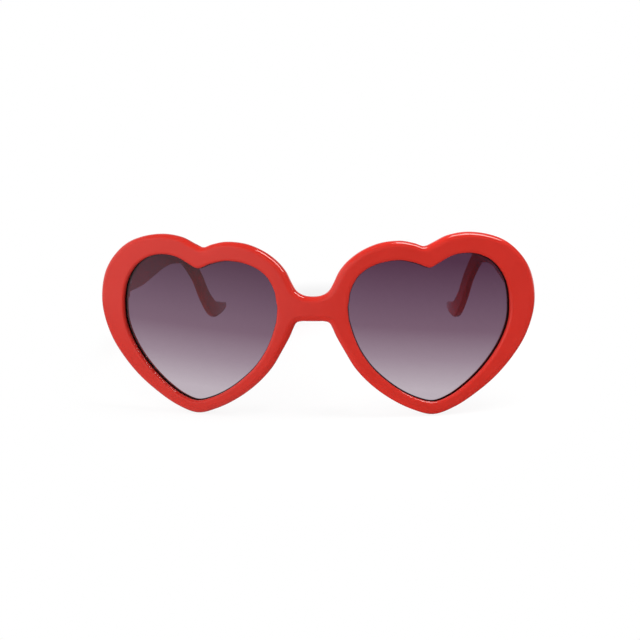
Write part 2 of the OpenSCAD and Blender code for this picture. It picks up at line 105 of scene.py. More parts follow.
# Middle of a nose pad, as shares of half the bridge's width and of its underside's height, and
# its sideways and upward drift from base to crown, as shares of its depth
PAD_PLACE_SHARES = (1.09, 0.69)
PAD_DRIFT_SHARES = (0.1, -0.08)
# Rings of a nose pad: share of its depth, share of its length and width
PAD_RING_SHARES = [(0, 1), (0.25, 0.98), (0.5, 0.92), (0.7, 0.82), (0.85, 0.67), (0.95, 0.45), (1, 0.18)]

# The temple from its front end to its tip. Each row gives the share of its reach, the height of
# the lower edge as a share of that at the hinge, the share of the inset, and the shares of its
# height and thickness
TEMPLE_SHARES = [
    (0, 1, 0, 1, 1), (0.108, 0.977, 0, 1.02, 1), (0.238, 0.938, 0.003, 1.06, 0.985),
    (0.36, 0.937, 0.012, 0.98, 0.95), (0.467, 0.945, 0.045, 0.835, 0.91),
    (0.543, 0.94, 0.11, 0.72, 0.88), (0.611, 0.91, 0.225, 0.625, 0.86),
    (0.672, 0.84, 0.365, 0.545, 0.85), (0.741, 0.565, 0.565, 0.49, 0.85),
    (0.79, 0.257, 0.71, 0.53, 0.86), (0.845, 0.032, 0.845, 0.62, 0.88),
    (0.9, 0.0025, 0.925, 0.52, 0.88), (0.95, 0.0015, 0.965, 0.38, 0.85),
    (0.987, 0.0105, 0.98, 0.27, 0.76)]
# Most that a corner's rounding may take of the temple's thickness and of its height
CORNER_SHARE = 0.4
# Share of the quarter ellipse that closes the tip, so that it ends in a small flat
TIP_SHARE = 0.96

# Angle past which an edge shows sharp, in degrees, and the one past which a temple's is softened
SHARP_PAST = {"front": 30, "lens": 40, "pad": 50, "hinge": 32, "screw": 25, "temple": 35}
SOFT_PAST = 50
# Distance within which points of a mesh are merged, and that for a node's loose triangles
MERGE = 0.0001 * MM
NODE_MERGE = 0.001 * MM

# Most that a screw may be turned either way from straight
LEAF_SCREW_TURN = math.radians(75)
PIVOT_TURN = math.radians(40)

# Each finish of the acetate: its name, its least and greatest roughness, and the depth of the waves
# in it, in millimetres
ACETATES = {"front": ("Polished red acetate", 0.06, 0.11, 0.004),
            "pads": ("Tumbled red acetate", 0.16, 0.26, 0.006),
            "blocks": ("Bonded red acetate", 0.1, 0.16, 0.004),
            "temples": ("Polished red acetate, temples", 0.07, 0.13, 0.005)}

# The studio's light by direction. Diffuse light comes more from the left than from the right. Gloss
# shows bright walls at the left front, a dark room at the right and overhead, and the white ground
# low behind. Each row gives a part of the direction, the two values of it between which the light
# changes, and the strength below and above them
STUDIO = {
    "light": [("X", -0.45, 0.55, 1.68, 0.0), ("Y", -0.2, 0.6, 1.0, 0.7), ("Z", 0.3, 0.9, 1.0, 0.6)],
    "walls": [("X", -0.5, 0.2, 0.68, 0.12), ("Z", 0.5, 0.8, 1.0, 0.15)],
    "ground": [("Y", -0.1, 0.3, 0.0, 1.0), ("Z", 0.08, 0.2, 1.0, 0.0)]}

# Half the floor's width, in metres
FLOOR_REACH = 6.0
# The shadows reach less far to the sides than behind
SHADOW_SPREAD = (1.35, 1.0, 0.0)
# Whiteness of the floor. Each row gives two distances, behind the front or away from the glasses,
# and the share of the background's white before and after them. Away, it starts from the near one
WHITE_BEHIND = (-0.03, 0.06, 0.9, 0.05)
WHITE_AWAY = (0.1, 0.145, "near", 1.0)
# Gloss shows the near floor darker than the far floor
GLOSS_AWAY = (0.15, 0.8, 0.5, 1.0)

# Each lamp: its place, what it looks at, its turn, its size, its power and whether gloss shows it.
# The photograph shows no image of the left one
LAMPS = {
    "Strip softbox": ((0.16, -0.065, 0.255), (0.16, -0.065, 0), math.radians(-8), (0.245, 0.07), 0.66, True),
    "Left softbox": ((-0.09, -0.16, 0.2), (-0.035, 0, 0.05), 0, (0.12, 0.12), 0.11, False)}

# The camera's place, its turns in the order in which they are made, and its focal length in pixels
# of a picture of this width
CAMERA_PLACE = (0.0226, -0.3641, 0.1094)
CAMERA_TURNS = (("Z", 3.97), ("X", -14.69), ("Y", 1.0))
FOCAL_PIXELS = 912.4
PICTURE_WIDTH = 640


def srgb(code):
    """Linear colour of an sRGB hex code"""
    channels = [int(code[i:i + 2], 16) / 255 for i in (1, 3, 5)]
    return tuple(c / 12.92 if c <= 0.04045 else ((c + 0.055) / 1.055) ** 2.4 for c in channels)


def size(name, millimetres, text):
    """A size that a user may change, given here in millimetres"""
    return FloatProperty(name=name, description=text, default=millimetres * MM, min=0,
                         precision=5, unit="LENGTH")


def colour(name, code, text):
    """A colour that a user may change"""
    return FloatVectorProperty(name=name, description=text, default=srgb(code), size=3,
                               min=0, max=1, subtype="COLOR")


def angle(name, degrees, text):
    """An angle that a user may change, given here in degrees"""
    return FloatProperty(name=name, description=text, default=math.radians(degrees), subtype="ANGLE")


def count(name, number, least, text):
    """A number of steps or points that a user may change"""
    return IntProperty(name=name, description=text, default=number, min=least)


class FrontSizes(PropertyGroup):
    opening_w: size("Opening width", 53.6, "Width of each heart-shaped opening")
    opening_h: size("Opening height", 49.8, "Height of each heart-shaped opening")
    bridge_w: size("Bridge width", 23.2, "Distance between the two openings")
    bridge_h: size("Bridge height", 8.2, "Height of the bridge bar at its middle")
    bridge_z: size("Bridge underside", 32.15, "Height of the bridge's underside over the hearts' lowest point")
    rim_w: size("Rim width", 8.9, "Rim width at the widest place")
    front_t: size("Front thickness", 4.6, "Thickness of the front from face to back")
    wrap_r: size("Wrap radius", 240, "Radius that the front is wrapped to, seen from above")
    lean: angle("Lean", 6, "Angle by which the front leans back")
    face_round: size("Face rounding", 2, "Rounding of the outer edge on the face")
    back_round: size("Back rounding", 1.7, "Rounding of the outer edge on the back")
    opening_round: size("Opening rounding", 0.8, "Rounding of the edge of each opening on the face")
    opening_back_round: size("Opening back rounding", 0.5, "Rounding of that edge on the back")
    outline_steps: count("Outline steps", 6, 1, "Stations between two points of the heart")
    round_steps: count("Rounding steps", 6, 2, "Steps of each rounding")


class LensSizes(PropertyGroup):
    lens_t: size("Lens thickness", 2, "Thickness of each lens")
    lens_set: size("Lens setback", 1.45, "Depth of the lens face behind the face of the rim")
    groove_depth: size("Groove depth", 1.25, "Depth of the groove that holds the lens")
    lens_grip: size("Lens grip", 0.8, "How far the lens reaches into its groove")
    lens_play: size("Lens play", 0.08, "Play between the lens and each side of its groove")
    # The band along each lens's edge is painted shade: a near-black ring that stands in for the shaded groove
    # seen through the lens's edge, blended into clear lens over the next width
    painted_shade_band: size("Painted shade band", 0.15, "Width of the dark ground edge that shows inside the opening")
    edge_blend: size("Edge blend", 0.12, "Width over which the ground edge gives way to clear lens")
    dye_low: size("Dye foot", 3.6, "Height over the table at which the dye begins")
    dye_reach: size("Dye reach", 51.2, "Height over which the dye deepens")
    dye_tilt: FloatProperty(name="Dye tilt", default=0.09, subtype="FACTOR",
                            description="Rise of the dye towards the wearer's left, as a slope")
    rings: count("Lens rings", 14, 2, "Rings of faces from the edge of a lens to its middle")


class PadSizes(PropertyGroup):
    pad_l: size("Pad length", 15, "Length of each nose pad along the rim")
    pad_w: size("Pad width", 3.8, "Width of each nose pad at its base")
    pad_depth: size("Pad depth", 6, "How far each nose pad stands out behind the rim")
    pad_turn: angle("Pad turn", 29, "Turn of a pad's long axis from upright")
    bond: size("Bond line", 0.05, "Bond line between a glued piece and the front")
    sides: count("Pad sides", 40, 8, "Points round a nose pad")
    ring_steps: count("Ring steps", 3, 1, "Rings between two rows of a nose pad's shares")


class TempleSizes(PropertyGroup):
    temple_reach: size("Temple reach", 131, "Distance from the front end of a temple to its tip")
    temple_h: size("Temple height", 12.6, "Height of a temple at the hinge")
    temple_t: size("Temple thickness", 3.6, "Thickness of a temple")
    tip_inset: size("Tip inset", 14.4, "How much nearer to the middle the tip is than the hinge end")
    temple_round: size("Temple rounding", 1.1, "Rounding of the long edges")
    tip_end: size("Tip end", 1.7, "Length of the rounded end of the tip")
    notch_play: size("Notch play", 0.3, "Clearance round the barrels in the stepped front end")
    seat_play: size("Seat play", 0.03, "Clearance round the hinge leaf in its pocket")
    soft_edge: size("Soft edge", 0.12, "Width of the softened edges of the step and the pocket")
    steps: count("Temple steps", 8, 1, "Stations between two points of the temple")
    tip_steps: count("Tip steps", 8, 2, "Rings of the rounded end of the tip")
    corner_steps: count("Corner steps", 6, 2, "Steps of the rounding of each long edge")


class HingeSizes(PropertyGroup):
    barrel_d: size("Barrel diameter", 2.8, "Outer diameter of the hinge barrels")
    leaf_t: size("Leaf thickness", 0.8, "Thickness of the hinge leaves")
    leaf_edge: size("Leaf edge", 0.09, "Width of the tumbled edges of the leaves")
    block_edge: size("Block edge", 0.3, "Width of the softened edges of the end blocks")
    screw_d: size("Screw diameter", 1, "Diameter of the small screws that hold the leaves")
    head_d: size("Head diameter", 1.8, "Diameter of their countersunk heads")
    head_h: size("Head depth", 0.45, "Depth of their countersunk heads")
    screw_l: size("Screw length", 2.3, "Length of the small screws")
    slot_w: size("Slot width", 0.35, "Width of the screwdriver slots")
    slot_depth: size("Slot depth", 0.3, "Depth of the screwdriver slots")
    pivot_d: size("Pivot diameter", 1.4, "Diameter of the pivot screws")
    pivot_head_h: size("Pivot head height", 0.7, "Height of the pivot screws' heads")
    screw_edge: size("Screw edge", 0.07, "Width of the turned chamfer round a screw's head")
    screw_sides: count("Screw sides", 40, 12, "Facets round a turned screw")
    slot_seed: count("Slot seed", 5, 0, "Seed of the turn that each small screw was left at")


class Finishes(PropertyGroup):
    acetate: colour("Acetate", "#CE3127", "Red of the acetate")
    acetate_deep: colour("Deep acetate", "#C22A21", "Darker red in the clouds of the acetate")
    tint_top: colour("Tint, top", "#503147", "Colour that a lens lets through at its top")
    tint_upper: colour("Tint, upper", "#6A4F63", "Colour that a lens lets through above its middle")
    tint_middle: colour("Tint, middle", "#7A6072", "Colour that a lens lets through at its middle")
    tint_lower: colour("Tint, lower", "#9C8997", "Colour that a lens lets through below its middle")
    tint_low: colour("Tint, bottom", "#BEB2BB", "Colour that a lens lets through at its bottom")
    # Painted shade: the near-black colour of the band along each lens's edge, in place of the shaded groove
    # seen through it
    painted_edge_shade: colour("Painted shade band", "#120C0F", "Colour of a lens's ground edge")
    nickel: colour("Nickel silver", "#CDC8BC", "Colour of the hinge leaves")
    steel: colour("Steel", "#D4D2CE", "Colour of the screws and core wires")
    floor: colour("Floor", "#F8F8F8", "Colour of the floor")


SETTINGS = {"front_sizes": FrontSizes, "lens_sizes": LensSizes, "pad_sizes": PadSizes,
            "temple_sizes": TempleSizes, "hinge_sizes": HingeSizes, "finishes": Finishes}


def add_node(tree, kind, settings=None, inputs=None):
    """Adds a node with its settings. An input takes a plain value, a link, or a node whose first
    output in use it takes"""
    node = tree.nodes.new(kind)
    for name, value in (settings or {}).items():
        setattr(node, name, value)
    for name, value in (inputs or {}).items():
        if isinstance(value, bpy.types.Node):
            value = next(output for output in value.outputs if output.enabled)
        if isinstance(value, bpy.types.NodeSocket):
            tree.links.new(value, node.inputs[name])
        else:
            node.inputs[name].default_value = value
    return node


def new_material(name):
    """An empty node material and its tree"""
    material = bpy.data.materials.new(name)
    material.use_nodes = True
    material.node_tree.nodes.clear()
    return material, material.node_tree


def ended(material, surface):
    """The material with this surface"""
    add_node(material.node_tree, "ShaderNodeOutputMaterial", inputs={"Surface": surface})
    return material


def relief_shader(tree, relief, depth, inputs):
    """A material's main shader, with a relief that is this many millimetres deep"""
    bump = add_node(tree, "ShaderNodeBump", inputs={"Height": relief, "Distance": depth * MM})
    return add_node(tree, "ShaderNodeBsdfPrincipled", inputs={**inputs, "Normal": bump})


def per_metre(millimetres):
    """Noise scale that gives a pattern of this grain size"""
    return 1 / (millimetres * MM)


def acetate(finishes, use):
    """Cellulose acetate sheet: red right through, faintly clouded, and shiny as it was polished"""
    name, smoothest, roughest, wave = ACETATES[use]
    material, tree = new_material(name)
    place = add_node(tree, "ShaderNodeTexCoord").outputs["Object"]
    # Pigment clouds of a block-pressed sheet, about 14 mm across
    clouds = add_node(tree, "ShaderNodeTexNoise", inputs={
        "Vector": place, "Scale": per_metre(14), "Detail": 3, "Roughness": 0.45})
    red = add_node(tree, "ShaderNodeMix", {"data_type": "RGBA"}, {
        "Factor": clouds, "A": (*finishes.acetate_deep, 1), "B": (*finishes.acetate, 1)})
    # Buffing haze, drawn at 0.9 mm because the real marks are too fine to show
    haze = add_node(tree, "ShaderNodeTexNoise", inputs={
        "Vector": place, "Scale": per_metre(0.9), "Detail": 4, "Roughness": 0.6})
    rough = add_node(tree, "ShaderNodeMapRange", inputs={
        "Value": haze, "From Min": 0.3, "From Max": 0.7, "To Min": smoothest, "To Max": roughest})
    # Slow waves that the polishing wheel leaves, a few microns deep and 5 mm apart
    waves = add_node(tree, "ShaderNodeTexNoise", inputs={"Vector": place, "Scale": per_metre(5), "Detail": 1})
    return ended(material, relief_shader(tree, waves, wave, {
        "Base Color": red, "Roughness": rough, "IOR": 1.48, "Subsurface Weight": 0.12,
        "Subsurface Radius": (1.0, 0.12, 0.08), "Subsurface Scale": 1.2 * MM}))


def tinted_lens(finishes):
    """Dip-dyed lens resin: darkest at the top, nearly clear at the bottom, with a near-black band painted
    along its edge as the shade of the groove seen through it
    """
    material, tree = new_material("Dip-dyed lens resin")
    place = add_node(tree, "ShaderNodeTexCoord").outputs["Object"]
    # The dye's share, and the mask of the painted shade along the edge
    dye, ground = (add_node(tree, "ShaderNodeAttribute", {"attribute_name": name}).outputs["Fac"]
                   for name in ("dye", "painted_shade_band"))
    ramp = add_node(tree, "ShaderNodeValToRGB", inputs={"Fac": dye})
    stops = [(0.1, finishes.tint_low), (0.3, finishes.tint_lower), (0.5, finishes.tint_middle),
             (0.7, finishes.tint_upper), (0.95, finishes.tint_top)]
    elements = ramp.color_ramp.elements
    while len(elements) < len(stops):
        elements.new(0.5)
    for element, (position, tint) in zip(elements, stops):
        element.position = position
        element.color = (*tint, 1)
    # Painted shade: next to the edge the tint turns near black, for the shaded groove seen through the lens's
    # edge
    tint = add_node(tree, "ShaderNodeMix", {"data_type": "RGBA"}, {
        "Factor": ground, "A": ramp, "B": (*finishes.painted_edge_shade, 1)})
    # Faint unevenness of the hard coating, 9 mm apart and under a micron deep
    waves = add_node(tree, "ShaderNodeTexNoise", inputs={"Vector": place, "Scale": per_metre(9), "Detail": 1})
    resin = relief_shader(tree, waves, 0.001, {
        "Base Color": tint, "Roughness": 0.0, "IOR": 1.44, "Transmission Weight": 1.0})
    # Light reaches what is behind the lens straight through it
    through = add_node(tree, "ShaderNodeBsdfTransparent", inputs={"Color": tint})
    shadow = add_node(tree, "ShaderNodeLightPath").outputs["Is Shadow Ray"]
    return ended(material, add_node(tree, "ShaderNodeMixShader", inputs={0: shadow, 1: resin, 2: through}))


def hinge_metal(name, metal, smoothest, roughest, grain, stretch):
    """Small metal parts: tumbled or drawn bright, with fine marks and a soft sheen"""
    material, tree = new_material(name)
    place = add_node(tree, "ShaderNodeTexCoord").outputs["Object"]
    along = add_node(tree, "ShaderNodeMapping", inputs={"Vector": place, "Scale": stretch})
    marks = add_node(tree, "ShaderNodeTexNoise", inputs={
        "Vector": along, "Scale": per_metre(grain), "Detail": 3, "Roughness": 0.6})
    rough = add_node(tree, "ShaderNodeMapRange", inputs={
        "Value": marks, "From Min": 0.3, "From Max": 0.7, "To Min": smoothest, "To Max": roughest})
    # Dulled patches, 2 mm across and a seventh darker, where the finish is worn
    dull = add_node(tree, "ShaderNodeTexNoise", inputs={"Vector": place, "Scale": per_metre(2)})
    tone = add_node(tree, "ShaderNodeMix", {"data_type": "RGBA"}, {
        "Factor": dull, "A": (*(0.86 * c for c in metal), 1), "B": (*metal, 1)})
    return ended(material, relief_shader(tree, marks, 0.004, {
        "Base Color": tone, "Metallic": 1.0, "Roughness": rough}))


def turned_steel(finishes):
    """Turned steel: concentric tool marks on the screw heads"""
    material, tree = new_material("Turned steel")
    radius = add_node(tree, "ShaderNodeAttribute", {"attribute_name": "turned_radius"}).outputs["Fac"]
    # Tool marks 0.12 mm apart
    phase = add_node(tree, "ShaderNodeMath", {"operation": "MULTIPLY"},
                     {0: radius, 1: 2 * math.pi * per_metre(0.12)})
    rings = add_node(tree, "ShaderNodeMath", {"operation": "SINE"}, {0: phase})
    rough = add_node(tree, "ShaderNodeMapRange", inputs={
        "Value": rings, "From Min": -1.0, "From Max": 1.0, "To Min": 0.18, "To Max": 0.3})
    return ended(material, relief_shader(tree, rings, 0.002, {
        "Base Color": (*finishes.steel, 1), "Metallic": 1.0, "Roughness": rough}))


def smooth_run(points, steps, closed=False):
    """Places and unit ways along a smooth curve through the points. An open one leaves out its
    first and last point, which only steer it"""
    ring = np.vstack([points[-1:], points, points[:2]]) if closed else points
    a, b, c, d = (ring[i:len(ring) - 3 + i, None, :] for i in range(4))
    t = (np.arange(steps) / steps)[None, :, None]
    places = (2 * b + (c - a) * t + (2 * a - 5 * b + 4 * c - d) * t ** 2
              + (3 * b - a - 3 * c + d) * t ** 3) / 2
    ways = (c - a) + 2 * (2 * a - 5 * b + 4 * c - d) * t + 3 * (3 * b - a - 3 * c + d) * t ** 2
    ways /= np.linalg.norm(ways, axis=2, keepdims=True)
    width = points.shape[1]
    return places.reshape(-1, width), ways.reshape(-1, width)


def carried_on(rows):
    """The rows with one more at each end, straight on, to steer an open curve through them all"""
    return np.vstack([2 * rows[0] - rows[1], rows, 2 * rows[-1] - rows[-2]])


def outwards(ways):
    """Ways turned a quarter to the left, which is out of the opening"""
    return np.stack([-ways[:, 1], ways[:, 0]], axis=1)


class Heart:
    """The wearer's left half of the front: its outline, in the plane that it is wrapped from, and
    the section of its rim"""

    def __init__(self, scene):
        self.front, self.lens = scene.front_sizes, scene.lens_sizes
        front = self.front
        half = front.bridge_w / 2
        opening = np.array([row[:2] for row in
                            BRIDGE_TOP_SHARES + RIM_SHARES + BRIDGE_BOTTOM_SHARES + NOSE_SIDE_SHARES])
        opening = np.array([half, front.rim_w / 2]) + opening * (front.opening_w, front.opening_h)
        bridge_top, bridge_bottom = (
            np.array([(row[2] * half, front.bridge_z + row[3] * front.bridge_h) for row in rows])
            for rows in (BRIDGE_TOP_SHARES, BRIDGE_BOTTOM_SHARES))
        first_rim = len(BRIDGE_TOP_SHARES)
        rim = opening[first_rim:first_rim + len(RIM_SHARES)] + front.rim_w * np.array(RIM_SHARES)[:, 2:]
        edge = np.vstack([bridge_top, rim, bridge_bottom])
        beyond = np.array([-1, 1])
        self.opening, ways = smooth_run(opening, front.outline_steps, closed=True)
        self.opening_out = outwards(ways)
        self.edge, ways = smooth_run(np.vstack([edge[1:2] * beyond, edge, edge[-2:-1] * beyond]),
                                     front.outline_steps)
        self.edge_out = outwards(ways)
        self.edge_end = edge[-1]
        self.stations = len(self.opening)
        self.seam_start = len(self.edge)
        self.section = self.section_rows()
        # The step that stands the front on the table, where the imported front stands
        self.settle = np.zeros(3)
        low = self.rim_points().min(axis=(0, 1))
        packed_low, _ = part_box("front_frame")
        self.settle = np.array([0, packed_low.y - low[1], packed_low.z - low[2]])

    def from_opening(self, offset):
        """The stations, this far out into the rim from the opening"""
        return self.opening + offset * self.opening_out

    def from_edge(self, offset):
        """The stations, this far in from the outer edge. The last ones climb the middle plane"""
        front = self.front
        rise = front.face_round + (front.bridge_h - 2 * front.face_round) * np.linspace(
            0, 1, self.stations - self.seam_start, endpoint=False)
        seam = np.stack([np.zeros(len(rise)), front.bridge_z + rise], axis=1)
        seam[0] = self.edge_end + (0, offset)
        return np.vstack([self.edge - offset * self.edge_out, seam])

    def wrapped(self, points, depth, spread=None):
        """Wraps points of the plane, at a depth behind the face, and leans them back. They spread
        sideways as on their own radius or on a given one"""
        front = self.front
        radius = front.wrap_r - depth
        x = points[:, 0] * (spread or radius) / (front.wrap_r - front.face_round)
        y, z = front.wrap_r - np.sqrt(radius ** 2 - x ** 2), points[:, 1]
        cos, sin = math.cos(front.lean), math.sin(front.lean)
        return np.stack([x, y * cos + z * sin, z * cos - y * sin], axis=1) + self.settle

    def section_rows(self):
        """Section of the rim. Each row gives the share of the way from the opening to the outer
        edge, the offset from each of them, and the depth"""
        front, lens = self.front, self.lens
        turns = np.linspace(0, math.pi / 2, front.round_steps + 1)

        def rounded(share, radius, on_back=False):
            rows = []
            for inward, sunk in zip(radius * (1 - np.cos(turns)), radius * (1 - np.sin(turns))):
                depth = front.front_t - sunk if on_back else sunk
                rows.append((share, (1 - share) * inward, share * inward, depth))
            return rows

        face, back = front.opening_round, front.opening_back_round
        groove_front = lens.lens_set - lens.lens_play
        groove_back = lens.lens_set + lens.lens_t + lens.lens_play
        across = np.linspace(0, 1, FLAT_ROWS + 2)[1:-1]
        return [(0, 0, 0, groove_front), *rounded(0, face),
                *((s, face, front.face_round, 0) for s in across),
                *rounded(1, front.face_round)[::-1], *rounded(1, front.back_round, True),
                *((1 - s, back, front.back_round, front.front_t) for s in across),
                *rounded(0, back, True)[::-1], (0, 0, 0, groove_back),
                (0, lens.groove_depth, 0, groove_back), (0, lens.groove_depth, 0, groove_front)]

    def rim_points(self):
        """Points of the half rim, by station and by row of the section"""
        rows = [self.wrapped((1 - share) * self.from_opening(opening) + share * self.from_edge(edge), depth)
                for share, opening, edge, depth in self.section]
        return np.stack(rows, axis=1)


def linked(name, data):
    """A new object in the scene"""
    thing = bpy.data.objects.new(name, data)
    bpy.context.scene.collection.objects.link(thing)
    return thing


def tidy_mesh(mesh, merge=MERGE, flat=None):
    """Merges doubles, and faces within an angle of flat, drops loose points and turns the faces out"""
    work = bmesh.new()
    work.from_mesh(mesh)
    bmesh.ops.remove_doubles(work, verts=work.verts, dist=merge)
    if flat:
        bmesh.ops.dissolve_limit(work, angle_limit=flat, verts=work.verts, edges=work.edges)
    bmesh.ops.delete(work, geom=[v for v in work.verts if not v.link_faces], context="VERTS")
    bmesh.ops.recalc_face_normals(work, faces=work.faces)
    work.to_mesh(mesh)
    work.free()


def mesh_object(name, points, faces=(), edges=(), values=None):
    """A mesh in the scene, with named values on its points, and tidied if it has faces"""
    mesh = bpy.data.meshes.new(name)
    mesh.from_pydata([tuple(p) for p in points], edges, faces)
    mesh.validate()
    for label, numbers in (values or {}).items():
        numbers = np.array(numbers, float)
        kind, field = ("FLOAT", "value") if numbers.ndim == 1 else ("FLOAT_VECTOR", "vector")
        mesh.attributes.new(label, kind, "POINT").data.foreach_set(field, numbers.ravel())
    if faces:
        tidy_mesh(mesh)
    return linked(name, mesh)


def shade(piece, kind, even=False):
    """Smooth shading, sharp past the kind's angle, and even where flats meet roundings"""
    piece.data.shade_smooth()
    piece.data.set_sharp_from_angle(angle=math.radians(SHARP_PAST[kind]))
    if even:
        piece.modifiers.new("Even shading", "WEIGHTED_NORMAL").keep_sharp = True


def discard(piece):
    """Removes a helper object and its mesh"""
    mesh = piece.data
    bpy.data.objects.remove(piece)
    bpy.data.meshes.remove(mesh)


def applied(piece, name):
    """A plain mesh object from the piece as its modifiers leave it"""
    mesh = bpy.data.meshes.new_from_object(piece.evaluated_get(bpy.context.evaluated_depsgraph_get()))
    mesh.name = name
    plain = linked(name, mesh)
    discard(piece)
    return plain


def softened(piece, name, width, past, kind):
    """The piece with its edges past an angle softened"""
    soft = piece.modifiers.new("Softened edges", "BEVEL")
    soft.width, soft.segments = width, 2
    soft.limit_method, soft.angle_limit = "ANGLE", math.radians(past)
    plain = applied(piece, name)
    shade(plain, kind, even=True)
    return plain


def cut_boxes(piece, name, boxes):
    """The piece with boxes cut out, each given by two opposite corners"""
    cutters = []
    for one, other in boxes:
        corners = [(x, y, z) for x in (one[0], other[0]) for y in (one[1], other[1])
                   for z in (one[2], other[2])]
        cutters.append(mesh_object(name + "_cut", corners, [
            (0, 1, 3, 2), (4, 6, 7, 5), (0, 4, 5, 1), (2, 3, 7, 6), (0, 2, 6, 4), (1, 5, 7, 3)]))
        cut = piece.modifiers.new("Cut", "BOOLEAN")
        cut.operation, cut.solver, cut.object = "DIFFERENCE", "EXACT", cutters[-1]
    plain = applied(piece, name)
    for cutter in cutters:
        discard(cutter)
    return plain


def mirrored(points, side):
    """Points of the wearer's left side, or the same ones on the right"""
    return np.array(points) * (SIDES[side], 1, 1)


def stand_for(piece, material, slot, *nodes):
    """Puts the finished piece in the place of its nodes, on their body, with its material"""
    piece.data.materials.clear()
    piece.data.materials.append(material)
    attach(piece, frame["nodes"][nodes[0]]["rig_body"])
    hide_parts(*nodes)


def skin_faces(rings, sides):
    """Faces over rings of points, closed at both ends"""
    faces = [tuple(range(sides))[::-1]]
    for start in range(0, (rings - 1) * sides, sides):
        faces += [(start + k, start + (k + 1) % sides, start + sides + (k + 1) % sides, start + sides + k)
                  for k in range(sides)]
    return faces + [tuple(range((rings - 1) * sides, rings * sides))]


def new_tree(name, inputs, output):
    """A geometry tree with named inputs: the tree, their identifiers, and their sockets"""
    tree = bpy.data.node_groups.new(name, "GeometryNodeTree")
    keys = {label: tree.interface.new_socket(label, in_out="INPUT", socket_type="NodeSocket" + kind).identifier
            for label, kind in inputs.items()}
    tree.interface.new_socket(output, in_out="OUTPUT", socket_type="NodeSocketGeometry")
    return tree, keys, add_node(tree, "NodeGroupInput").outputs


def end_tree(tree, shape, finish):
    """Ends a geometry tree in a real mesh with its material"""
    real = add_node(tree, "GeometryNodeRealizeInstances", inputs={"Geometry": shape})
    add_node(tree, "NodeGroupOutput", inputs={0: add_node(tree, "GeometryNodeSetMaterial", inputs={
        "Geometry": real, "Material": finish})})


def grown(piece, name, tree, keys, values):
    """What the geometry tree makes of the piece, with these values for its inputs"""
    modifier = piece.modifiers.new(tree.name, "NODES")
    modifier.node_group = tree
    for label, value in values.items():
        modifier[keys[label]] = value
    return applied(piece, name)


class SUNGLASSES_OT_front(Operator):
    """Builds the front: both heart rims and the bridge, in one sheet of polished acetate"""
    bl_idname = "sunglasses.front"
    bl_label = "Front"

    def execute(self, context):
        heart = Heart(context.scene)
        outer = [row[0] == 1 for row in heart.section]
        rows = len(outer)
        faces = []
        for n in range(heart.stations):
            after = (n + 1) % heart.stations
            for k in range(rows):
                up = (k + 1) % rows
                # There is no wall where the two halves meet
                if not (n >= heart.seam_start and outer[k] and outer[up]):
                    faces.append((n * rows + k, after * rows + k, after * rows + up, n * rows + up))
        points = heart.rim_points().reshape(-1, 3)
        other = [tuple(i + len(points) for i in reversed(face)) for face in faces]
        piece = mesh_object("heart_front", np.vstack([points, mirrored(points, "right")]), faces + other)
        shade(piece, "front", even=True)
        stand_for(piece, acetate(context.scene.finishes, "front"), "frame_red", "front_frame")
        return {"FINISHED"}


class SUNGLASSES_OT_lenses(Operator):
    """Builds the two graded lenses in the grooves of the rims"""
    bl_idname = "sunglasses.lenses"
    bl_label = "Lenses"

    def execute(self, context):
        lens, wrap_r = context.scene.lens_sizes, context.scene.front_sizes.wrap_r
        heart = Heart(context.scene)
        stations = heart.stations
        # Rings at the groove, at the opening, at the inner side of the painted shade band and where it has
        # blended into clear lens
        rings = [heart.from_opening(offset) for offset in
                 (lens.lens_grip, 0, -lens.painted_shade_band, -lens.painted_shade_band - lens.edge_blend)]
        shade_band_rings = len(rings) - 1
        clear = rings[-1]
        middle = clear.mean(axis=0)
        rings += [middle + share * (clear - middle) for share in np.linspace(1, 0, lens.rings + 1)[1:-1]]
        mid_radius = wrap_r - lens.lens_set - lens.lens_t / 2
        face, back = (heart.wrapped(np.vstack([*rings, middle]), depth, mid_radius)
                      for depth in (lens.lens_set, lens.lens_set + lens.lens_t))
        count = len(face)
        inner = (len(rings) - 1) * stations
        faces = []
        for n in range(stations):
            after = (n + 1) % stations
            for a, b in zip(range(n, inner, stations), range(after, inner, stations)):
                faces.append((a, b, b + stations, a + stations))
                faces.append((count + a, count + a + stations, count + b + stations, count + b))
            faces.append((inner + n, inner + after, count - 1))
            faces.append((count + inner + n, 2 * count - 1, count + inner + after))
            faces.append((n, count + n, count + after, after))
        # Mask of the painted shade band: the points of the rings nearest the edge, front and back
        ground = np.tile(np.arange(count) < shade_band_rings * stations, 2)
        material = tinted_lens(context.scene.finishes)
        for side in SIDES:
            points = mirrored(np.vstack([face, back]), side)
            across = points[:, 0] - SIDES[side] * middle[0]
            dye = (points[:, 2] - lens.dye_low + lens.dye_tilt * across) / lens.dye_reach
            piece = mesh_object(f"tinted_lens_{side}", points, faces,
                                values={"painted_shade_band": ground, "dye": dye})
            shade(piece, "lens")
            stand_for(piece, material, "lens_tint", f"lens_{side}")
        return {"FINISHED"}


